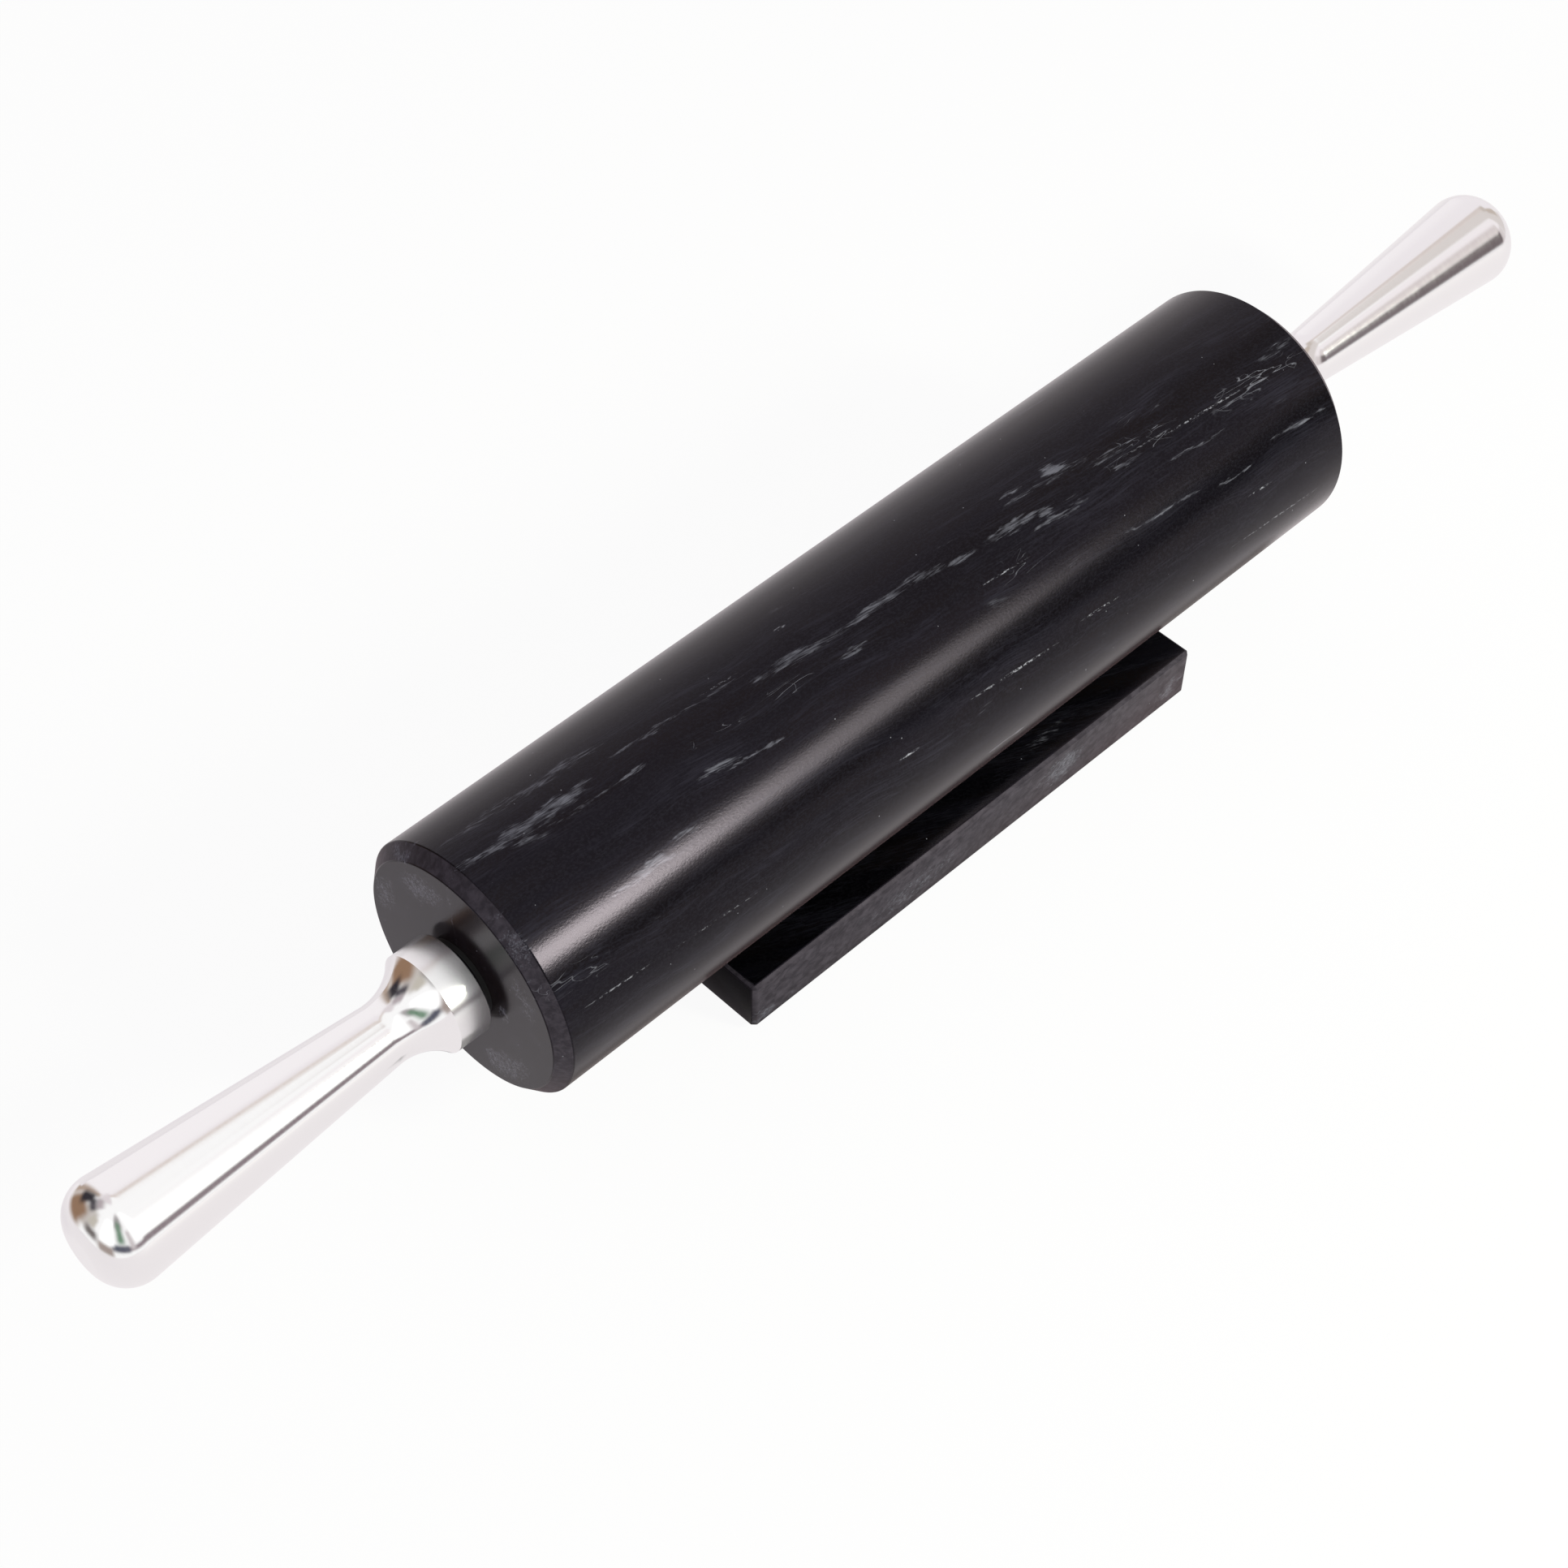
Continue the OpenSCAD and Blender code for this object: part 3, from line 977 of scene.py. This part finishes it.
    def bush(self, side: Side, finish: bpy.types.Material) -> bpy.types.Object:
        """Turn one flanged nylon bush.

        Args:
            side: End of the roller that it sits in.
            finish: Moulded nylon.

        Returns:
            The bush.
        """
        s = self.sizes
        bore, barrel = s.rod_radius + self.running_gap, s.bore_radius - self.seat_gap
        inner_end = s.roller_half - self.bush_length
        corners = [
            Corner(inner_end, bore),
            Corner(inner_end, barrel, 0.5 * MM),
            Corner(s.roller_half, barrel),
            Corner(s.roller_half, s.flange_radius),
            Corner(s.flange_face, s.flange_radius, 0.3 * MM),
            Corner(s.flange_face, bore),
        ]
        outline = [(side.value * along, out) for along, out in rounded(corners)]
        name = side.name.lower()
        piece = self.lathe.turn(f"{name}_flanged_bush", outline, True, 96, finish)
        return hand_over(piece, Body.ROLLER, "bush_nylon", f"{name}_bush")


@dataclass
class AxleSet:
    """The steel axle with its thrust washers and the two screwed-on handles."""

    sizes: PinSizes
    lathe: Lathe
    thread_length: float = 28.0 * MM
    shoulder: float = 1.0 * MM
    relief_length: float = 2.0 * MM
    relief_depth: float = 0.6 * MM
    hole_spare: float = 5.0 * MM
    thread_gap: float = 0.05 * MM
    washer: float = 0.8 * MM
    washer_gap: float = 0.2 * MM
    collar_length: float = 8.2 * MM
    collar_radius: float = 12.05 * MM
    neck_radius: float = 7.2 * MM
    neck_at: float = 20.5 * MM
    flare_radius: float = 14.0 * MM
    grip_radius: float = 12.2 * MM
    end_round: float = 8.5 * MM
    rim_round: float = 0.25 * MM
    segments: int = 192

    def axle(self, finish: bpy.types.Material) -> bpy.types.Object:
        """Turn the axle rod with a shoulder, a relief and a threaded length at each end.

        Args:
            finish: Bright drawn steel.

        Returns:
            The axle.
        """
        s = self.sizes
        tip, thread = s.handle_start + self.thread_length, s.rod_radius - self.shoulder
        relief, relief_end = thread - self.relief_depth, s.handle_start + self.relief_length
        half = [
            Corner(tip, 0.0),
            Corner(tip, thread, 0.6 * MM),
            Corner(relief_end, thread),
            Corner(relief_end, relief),
            Corner(s.handle_start, relief),
            Corner(s.handle_start, s.rod_radius, 0.2 * MM),
        ]
        mirrored = [Corner(-c.along, c.out, c.round) for c in reversed(half)]
        piece = self.lathe.turn("steel_axle", rounded(half + mirrored), False, 96, finish)
        return hand_over(piece, Body.AXLE, "axle_steel", "axle_rod")

    def thrust_washer(self, side: Side, finish: bpy.types.Material) -> bpy.types.Object:
        """Turn one thrust washer, which lies against its handle.

        Args:
            side: End of the axle that it sits on.
            finish: Moulded nylon.

        Returns:
            The washer.
        """
        s = self.sizes
        inner, face = s.rod_radius + self.washer_gap, s.handle_start - self.washer
        corners = [
            Corner(face, inner),
            Corner(face, s.washer_radius, 0.15 * MM),
            Corner(s.handle_start, s.washer_radius, 0.15 * MM),
            Corner(s.handle_start, inner),
        ]
        outline = [(side.value * along, out) for along, out in rounded(corners)]
        name = side.name.lower()
        piece = self.lathe.turn(f"{name}_thrust_washer", outline, True, 96, finish)
        return hand_over(piece, Body.AXLE, "washer_nylon", f"{name}_washer")

    def outline(self) -> list[Point]:
        """Work out a handle's outline, from the bottom of its tapped hole round to its end.

        Returns:
            Points along and out from the axis, counted from the handle's inner face.
        """
        length = self.sizes.handle_end - self.sizes.handle_start
        hole = self.sizes.rod_radius - self.shoulder + self.thread_gap
        hole_depth = self.thread_length + self.hole_spare
        run, drop = self.neck_at - self.collar_length, self.collar_radius - self.neck_radius
        chord = math.hypot(run, drop)
        rise = math.sqrt(self.flare_radius ** 2 - chord ** 2 / 4)
        centre = ((self.collar_length + self.neck_at) / 2 + rise * drop / chord,
                  (self.collar_radius + self.neck_radius) / 2 + rise * run / chord)
        rim = math.degrees(math.atan2(self.collar_radius - centre[1], self.collar_length - centre[0])) % 360
        neck = math.degrees(math.atan2(self.neck_radius - centre[1], self.neck_at - centre[0])) % 360
        end_at = length - self.end_round
        taper = math.atan((self.grip_radius - self.neck_radius) / (end_at - self.neck_at))
        end_centre = (end_at, self.grip_radius - self.end_round / math.cos(taper))
        hollow = [(hole_depth + hole * 0.6, 0.0), (hole_depth, hole), (0.0, hole)]
        collar = rounded([
            Corner(0.0, self.collar_radius / 2),
            Corner(0.0, self.collar_radius, self.rim_round),
            Corner(self.collar_length, self.collar_radius),
        ])
        flare = arc(centre, self.flare_radius, rim, neck, 40)[1:]
        slope = Vector((math.cos(taper), math.sin(taper))) * 0.5 * MM
        grip_end = arc(end_centre, self.end_round, 90 + math.degrees(taper), 0, 40)
        first, last = flare[-1], grip_end[0]
        cone = [(first[0] + slope.x, first[1] + slope.y), (last[0] - slope.x, last[1] - slope.y)]
        flat = [(length, grip_end[-1][1] - 0.1 * MM), (length, 0.0)]
        return hollow + collar + flare + cone + grip_end + flat

    def handle(self, side: Side, finish: bpy.types.Material) -> bpy.types.Object:
        """Turn one handle.

        Args:
            side: End of the axle that it is screwed on to.
            finish: Polished aluminium.

        Returns:
            The handle.
        """
        start = self.sizes.handle_start
        points = [(side.value * (start + along), out) for along, out in self.outline()]
        name = side.name.lower()
        piece = self.lathe.turn(f"{name}_turned_handle", points, False, self.segments, finish)
        return hand_over(piece, Body.AXLE, "handle_aluminium", f"{name}_handle")


@dataclass
class StoneStand:
    """The marble slab with the groove that the roller lies in, on its four pads."""

    sizes: PinSizes
    chamfer: float = 1.0 * MM
    groove_gap: float = 0.3 * MM
    edge_round: float = 0.12 * MM
    pad_chamfer: float = 0.3 * MM
    sawn: float = 1e6

    def stone(self) -> bpy.types.Material:
        """Dress the slab's stone with the markings that its visible side has.

        Returns:
            The slab's marble.
        """
        low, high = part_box("marble_stand")
        middle, half = (high + low) / (2 * MM), (high - low) / (2 * MM)
        markings = (
            Marking(Mark.CLOUD, (31.0, -30.0, 9.0), (8.0, 2.5, 6.0), 0.85),
            Marking(Mark.CLOUD, (69.0, -30.0, 8.0), (4.5, 2.5, 4.5), 0.8),
            Marking(Mark.CLOUD, (-69.0, -30.0, 4.0), (6.0, 2.5, 5.0), 0.6),
            Marking(Mark.CLOUD, (-20.0, -30.0, 8.0), (24.0, 2.5, 6.0), 0.4),
            Marking(Mark.CLOUD, (30.0, -24.0, 16.0), (10.0, 2.4, 3.0), 0.35),
            Marking(Mark.CRACKLE, (27.0, -30.0, 9.0), (8.0, 2.5, 6.0), 0.7),
        )
        bed = FlatBed(tuple(middle), (half.x, self.sawn, half.z))
        # The slab's crystal and thread colours are darker than the roller's all over the slab: painted
        # shade, so that the slab's top, which lies under the roller, reads near-black.
        return Marble(
            "honed_black_marble_slab", bed, markings, crystal="#09090c", thread="#16161c", seed=9.0,
            roughness=0.16).build()

    def slab(self) -> bpy.types.Object:
        """Cut the slab with its chamfered edges and its groove.

        Returns:
            The slab.
        """
        low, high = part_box("marble_stand")
        size, middle = high - low, (high + low) / 2
        block = bmesh.new()
        box = Matrix.Translation(middle) @ Matrix.Diagonal((*size, 1.0))
        bmesh.ops.create_cube(block, size=1.0, matrix=box)
        bmesh.ops.bevel(block, geom=block.edges[:], offset=self.chamfer, segments=1, affect="EDGES")
        lying = Matrix.Rotation(math.radians(90), 4, "Y")
        place = Matrix.Translation((middle.x, 0.0, self.sizes.axis_height)) @ lying
        radius = self.sizes.roller_radius + self.groove_gap
        drum = bmesh.new()
        bmesh.ops.create_cone(drum, cap_ends=True, segments=360, radius1=radius, radius2=radius,
                              depth=size.x * 1.2, matrix=place)
        solids = []
        for name, shape in (("slab", block), ("groove_cutter", drum)):
            mesh = bpy.data.meshes.new(name)
            shape.to_mesh(mesh)
            shape.free()
            solids.append(into_scene(name, mesh))
        slab, cutter = solids
        groove = slab.modifiers.new("groove", "BOOLEAN")
        groove.object = cutter
        groove.operation = "DIFFERENCE"
        groove.solver = "EXACT"
        soften = slab.modifiers.new("soften", "BEVEL")
        soften.width = self.edge_round
        soften.segments = 2
        soften.limit_method = "ANGLE"
        soften.angle_limit = math.radians(20)
        soften.harden_normals = True
        piece = plain_piece(slab, "stone_stand", sharp_deg=30.0)
        bpy.data.objects.remove(cutter, do_unlink=True)
        piece.data.materials.clear()
        piece.data.materials.append(self.stone())
        return hand_over(piece, Body.STAND, "stand_marble", "marble_stand")

    def pads(self, finish: bpy.types.Material) -> bpy.types.Object:
        """Mould the four pads as instances of one pad, made real.

        Args:
            finish: Rubber.

        Returns:
            One mesh of four pads.
        """
        names = [f"{a}_{b}_pad" for a in ("front", "back") for b in ("left", "right")]
        boxes = [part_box(name) for name in names]
        mesh = bpy.data.meshes.new("pad_places")
        mesh.from_pydata([(low + high) / 2 for low, high in boxes], [], [])
        places = into_scene("pad_places", mesh)
        tree, keys = piece_tree("pad_set", {
            "Places": "Geometry", "Radius": "Float", "Thickness": "Float", "Finish": "Material"}, "Pads")
        given = add(tree, "NodeGroupInput").node.outputs
        disc = add(tree, "GeometryNodeMeshCylinder", {
            "Vertices": 64, "Radius": given["Radius"], "Depth": given["Thickness"]})
        spread = add(tree, "GeometryNodeMeshToPoints", {"Mesh": given["Places"]})
        copies = add(tree, "GeometryNodeInstanceOnPoints", {"Points": spread, "Instance": disc})
        real = add(tree, "GeometryNodeRealizeInstances", {"Geometry": copies})
        dressed = add(tree, "GeometryNodeSetMaterial", {"Geometry": real, "Material": given["Finish"]})
        add(tree, "NodeGroupOutput", {"Pads": dressed})
        low, high = boxes[0]
        modifier = places.modifiers.new("pads", "NODES")
        modifier.node_group = tree
        modifier[keys["Radius"]] = (high.x - low.x) / 2
        modifier[keys["Thickness"]] = high.z - low.z
        modifier[keys["Finish"]] = finish
        soften = places.modifiers.new("soften", "BEVEL")
        soften.width = self.pad_chamfer
        soften.segments = 3
        piece = plain_piece(places, "stand_pads", sharp_deg=40.0)
        return hand_over(piece, Body.STAND, "pad_rubber", *names)


@dataclass(frozen=True)
class Panel:
    """Soft-edged patch of the studio that polished surfaces mirror, by its direction in degrees."""

    name: str
    turn: float
    rise: float
    half_turn: float
    half_rise: float
    soft: float
    colour: str
    strength: float = 1.0


STUDIO_PANELS = (
    Panel("paper sweep", 46, 23, 39, 35, 1.5, "#f7f2f5"),
    Panel("lit paper", 70, 25, 20, 34, 7, "#fffbfd"),
    Panel("edge of the sweep's top", 42, 60, 30, 2.5, 2, "#dfd3cd"),
    Panel("wall over the sweep", 78, 66, 18, 12, 6, "#e6dee1"),
    Panel("shade beside the sweep", 91, 20, 6, 32, 5, "#b5a294"),
    Panel("pale wall", -37, 34, 12, 18, 4, "#fbf5f7"),
    Panel("warm wall", -10, 24, 16, 36, 3, "#e0d9d6"),
    Panel("wall beside the sweep", 1, 24, 6, 14, 2.5, "#c9bdb3"),
    Panel("wall beside the slanting edge of the sweep", 9, 43, 9, 8, 4, "#cdc3bb"),
    Panel("wall beside the sweep's corner", 13, 53, 8, 4, 3, "#dcd1cc"),
    Panel("low wall at the right", -38, 6, 12, 16, 5, "#ded6d6"),
    Panel("grey wall at the right", -48, 31, 8, 10, 5, "#d9cfcf"),
    Panel("dark table edge at the right", -51, 12, 8, 11, 4, "#6f6466"),
    Panel("table edge towards the right", -64, 10.5, 8, 5, 3, "#7e7478"),
    Panel("dark table edge in front", -100, 9.5, 40, 4.5, 3.5, "#8c7e84"),
    Panel("dim gap between the softboxes", -103, 26, 6, 19, 5, "#d0c8ca"),
    Panel("shade over the green panel", -127, 64, 16, 14, 8, "#aaa4a6"),
    Panel("green panel", -128, 42, 9, 22, 8, "#66896f"),
    Panel("slate panel under the green one", -132, 10, 20, 7, 5, "#595b69"),
    Panel("front softbox", -75, 50, 17, 30, 3, "#ffffff", 1.3),
    Panel("left softbox", -161, 37, 15, 25, 4, "#ffffff", 1.3),
    Panel("dim wall behind the dark panel", 142, 28, 20, 24, 8, "#cfc9c4"),
    Panel("shade over the dark panel", 118, 60, 22, 9, 8, "#b9aeb2"),
    Panel("tan panel", 121, 8, 22, 22, 9, "#967861"),
    Panel("upper dark panel", 124, 45, 17, 8, 7, "#504c53"),
    Panel("dark panel", 106, 30, 12, 16, 7, "#343137"),
    Panel("beige panel", 161, 32, 9, 12, 5, "#c9c3b8"),
    Panel("low dark panel at the left", 166, 8, 12, 9, 7, "#6f6866"),
    Panel("low warm panel at the left", -165, -1, 15, 9, 5, "#a89a94"),
)


@dataclass
class Studio:
    """Camera, white floor and soft lamps, fitted to the photograph's viewing angle."""

    azimuth_deg: float = -45.853
    elevation_deg: float = 49.732
    roll_deg: float = 1.614
    distance: float = 0.726
    aim: Triple = (-16.0 * MM, 16.3 * MM, 1.4 * MM)
    lens_mm: float = 70.31
    sensor_mm: float = 36.0
    floor_left: float = -0.46
    floor_front: float = -1.3
    floor_far: float = 1.6
    notch: Point = (-0.2, 0.12)
    white: str = "#ffffff"
    paper: str = "#f9f4f7"
    paper_body: str = "#f2f1f2"
    white_seen: float = 0.94
    paper_mirrored: float = 0.8
    horizon_deg: Point = (-16.0, -12.0)
    ceiling: float = 1.06
    soft_light: str = "#fbf5fa"
    soft_strength: float = 0.5
    lamp_light: str = "#faffe9"
    lamp_aim: Triple = (-0.05, 0.0, 0.03)
    # Footprint of the roller, round which the mirrored paper gets painted shade.
    covered: Point = (0.125, 0.03)
    shade_reach: float = 7.0 * MM
    shade_share: float = 0.22

    def camera(self) -> bpy.types.Object:
        """Place the camera.

        Returns:
            The camera.
        """
        azimuth, elevation = math.radians(self.azimuth_deg), math.radians(self.elevation_deg)
        level = math.cos(elevation)
        back = Vector((math.sin(azimuth) * level, -math.cos(azimuth) * level, math.sin(elevation)))
        right = Vector((math.cos(azimuth), math.sin(azimuth), 0.0))
        basis = Matrix((right, back.cross(right), back)).transposed().to_4x4()
        data = bpy.data.cameras.new("studio_camera")
        data.lens = self.lens_mm
        data.sensor_width = self.sensor_mm
        data.sensor_fit = "HORIZONTAL"
        camera = into_scene("studio_camera", data)
        place = Matrix.Translation(Vector(self.aim) + back * self.distance)
        camera.matrix_world = place @ basis @ Matrix.Rotation(math.radians(self.roll_deg), 4, "Z")
        bpy.context.scene.camera = camera
        return camera

    def floor(self) -> bpy.types.Object:
        """Lay a sheet of white paper that reads as white to the camera and keeps the object's shadow.

        Stone and metal mirror it white as well, with painted shade where the roller covers it.

        Returns:
            The sheet.
        """
        left, front, far = self.floor_left, self.floor_front, self.floor_far
        across, back = self.notch
        outline = [(left, front), (far, front), (far, far), (across, far), (across, back), (left, back)]
        mesh = bpy.data.meshes.new("floor")
        mesh.from_pydata([(x, y, 0) for x, y in outline], [], [tuple(range(len(outline)))])
        floor = into_scene("floor", mesh)
        material, tree, _ = new_material("matt_white_paper")
        tree.nodes.clear()
        path = add(tree, "ShaderNodeLightPath").node.outputs
        surface = add(tree, "ShaderNodeBsdfDiffuse", {"Color": linear(self.paper_body)})
        # Painted shade: the paper's mirrored glow is dimmed near the roller's footprint, where the roller
        # covers the floor.
        place = add(tree, "ShaderNodeTexCoord").node.outputs["Object"]
        size = add(tree, VECTOR_MATH, {0: place}, operation="ABSOLUTE")
        past = add(tree, VECTOR_MATH, {0: size, 1: (*self.covered, 0.0)}, operation="SUBTRACT")
        outside = add(tree, VECTOR_MATH, {0: past, 1: (0.0, 0.0, 0.0)}, operation="MAXIMUM")
        away = add(tree, VECTOR_MATH, {0: outside}, operation="LENGTH").node.outputs["Value"]
        shade = add(tree, MAP_RANGE, {
            "Value": away, "From Max": self.shade_reach, "To Min": self.shade_share, "To Max": 1.0})
        for ray, colour, share, strength in (
                ("Is Camera Ray", self.white, self.white_seen, 1.0),
                ("Is Glossy Ray", self.paper, self.paper_mirrored, shade)):
            glow = add(tree, "ShaderNodeEmission", {"Color": linear(colour), "Strength": strength})
            mixed = add(tree, MATH, {0: path[ray], 1: share}, operation="MULTIPLY")
            surface = add(tree, "ShaderNodeMixShader", {0: mixed, 1: surface, 2: glow})
        add(tree, "ShaderNodeOutputMaterial", {"Surface": surface})
        mesh.materials.append(material)
        return floor

    def mirrored(self, tree: bpy.types.NodeTree) -> Socket:
        """Paint the surroundings that polished surfaces mirror, panel over panel.

        Args:
            tree: The world's node tree.

        Returns:
            Colour socket of the surroundings by direction.
        """
        direction = add(tree, "ShaderNodeTexCoord").node.outputs["Generated"]
        split = add(tree, "ShaderNodeSeparateXYZ", {"Vector": direction}).node.outputs
        turn = add(tree, MATH, {0: split["Y"], 1: split["X"]}, operation="ARCTAN2")
        turn_deg = add(tree, MATH, {0: turn}, operation="DEGREES")
        rise = add(tree, MATH, {0: split["Z"]}, operation="ARCSINE")
        rise_deg = add(tree, MATH, {0: rise}, operation="DEGREES")
        start, end = self.horizon_deg
        low = add(tree, MAP_RANGE, {"Value": rise_deg, "From Min": start, "From Max": end})
        colour = add(tree, "ShaderNodeMix", {
            "Factor": low, "A": linear(self.paper), "B": (self.ceiling,) * 3 + (1.0,)}, data_type="RGBA")
        for panel in STUDIO_PANELS:
            share = 1.0
            aside = add(tree, MATH, {0: turn_deg, 1: panel.turn}, operation="SUBTRACT")
            wrapped = add(tree, MATH, {0: aside, 1: 180.0, 2: -180.0}, operation="WRAP")
            above = add(tree, MATH, {0: rise_deg, 1: panel.rise}, operation="SUBTRACT")
            for offset, half in ((wrapped, panel.half_turn), (above, panel.half_rise)):
                size = add(tree, MATH, {0: offset}, operation="ABSOLUTE")
                inside = add(tree, MAP_RANGE, {
                    "Value": size, "From Min": half + panel.soft, "From Max": half - panel.soft,
                }, interpolation_type="SMOOTHSTEP")
                share = add(tree, MATH, {0: share, 1: inside}, operation="MULTIPLY")
            shade = tuple(c * panel.strength for c in linear(panel.colour)[:3]) + (1.0,)
            colour = add(tree, "ShaderNodeMix", {
                "Factor": share, "A": colour, "B": shade}, data_type="RGBA")
        return colour

    def world(self) -> None:
        """Surround the object with soft light, white to the camera and panelled in reflections."""
        world = bpy.data.worlds.new("studio_world")
        bpy.context.scene.world = world
        world.use_nodes = True
        tree = world.node_tree
        tree.nodes.clear()
        path = add(tree, "ShaderNodeLightPath").node.outputs
        soft = add(tree, "ShaderNodeBackground", {
            "Color": linear(self.soft_light), "Strength": self.soft_strength})
        mirrored = add(tree, "ShaderNodeBackground", {"Color": self.mirrored(tree), "Strength": 1.0})
        seen = add(tree, "ShaderNodeBackground", {"Color": linear(self.white), "Strength": 1.0})
        first = add(tree, "ShaderNodeMixShader", {0: path["Is Glossy Ray"], 1: soft, 2: mirrored})
        second = add(tree, "ShaderNodeMixShader", {0: path["Is Camera Ray"], 1: first, 2: seen})
        add(tree, "ShaderNodeOutputWorld", {"Surface": second})

    def lamp(self, name: str, place: Triple, size: Point, power: float) -> bpy.types.Object:
        """Hang one soft lamp that faces the object.

        Args:
            name: Name of the lamp.
            place: Where it hangs, in metres.
            size: Width and height of its face.
            power: Power in watts.

        Returns:
            The lamp.
        """
        data = bpy.data.lights.new(name, "AREA")
        data.shape = "RECTANGLE"
        data.size, data.size_y = size
        data.energy = power
        data.color = linear(self.lamp_light)[:3]
        lamp = into_scene(name, data)
        lamp.location = place
        aim = Vector(self.lamp_aim) - Vector(place)
        lamp.rotation_euler = aim.to_track_quat("-Z", "Y").to_euler()
        return lamp

    def lamps(self) -> None:
        """Light the object with the bright middle and the dimmer wing of a front softbox."""
        self.lamp("front_softbox_middle", (0.27, -0.80, 0.60), (0.16, 0.25), 7.4)
        self.lamp("front_softbox_wing", (0.48, -0.78, 0.585), (0.22, 0.25), 1.9)

    def build(self) -> None:
        """Set up the whole studio."""
        bpy.context.scene.view_settings.view_transform = "Standard"
        self.camera()
        self.world()
        self.floor()
        self.lamps()


def main() -> None:
    """Build the studio, then the roller, the axle with its handles, and the stand."""
    logging.basicConfig(level=logging.INFO, format="%(name)s: %(message)s")
    Studio().build()
    sizes = PinSizes.from_frame()
    lathe = Lathe(sizes.axis_height)
    nylon = MouldedPolymer("moulded_black_nylon", "#0b0b0c", "#131314", 0.6, 0.5).build()
    rubber = MouldedPolymer("moulded_dark_rubber", "#1f1f1f", "#2d2d2d", 0.8, 0.7).build()
    aluminium = TurnedMetal(
        "polished_turned_aluminium", "#f3f2f2", 0.12, 0.4, 0.04, stretch=0.5,
        unpolished=(sizes.handle_start, sizes.handle_start + AxleSet.collar_length)).build()
    steel = TurnedMetal("bright_drawn_steel", "#b4b3b1", 0.28, 0.4, 0.2).build()
    roller = StoneRoller(sizes, lathe)
    roller.roller()
    axle = AxleSet(sizes, lathe)
    axle.axle(steel)
    for side in Side:
        roller.bush(side, nylon)
        axle.thrust_washer(side, nylon)
        axle.handle(side, aluminium)
    stand = StoneStand(sizes)
    stand.slab()
    stand.pads(rubber)


if __name__ == "__main__":
    main()
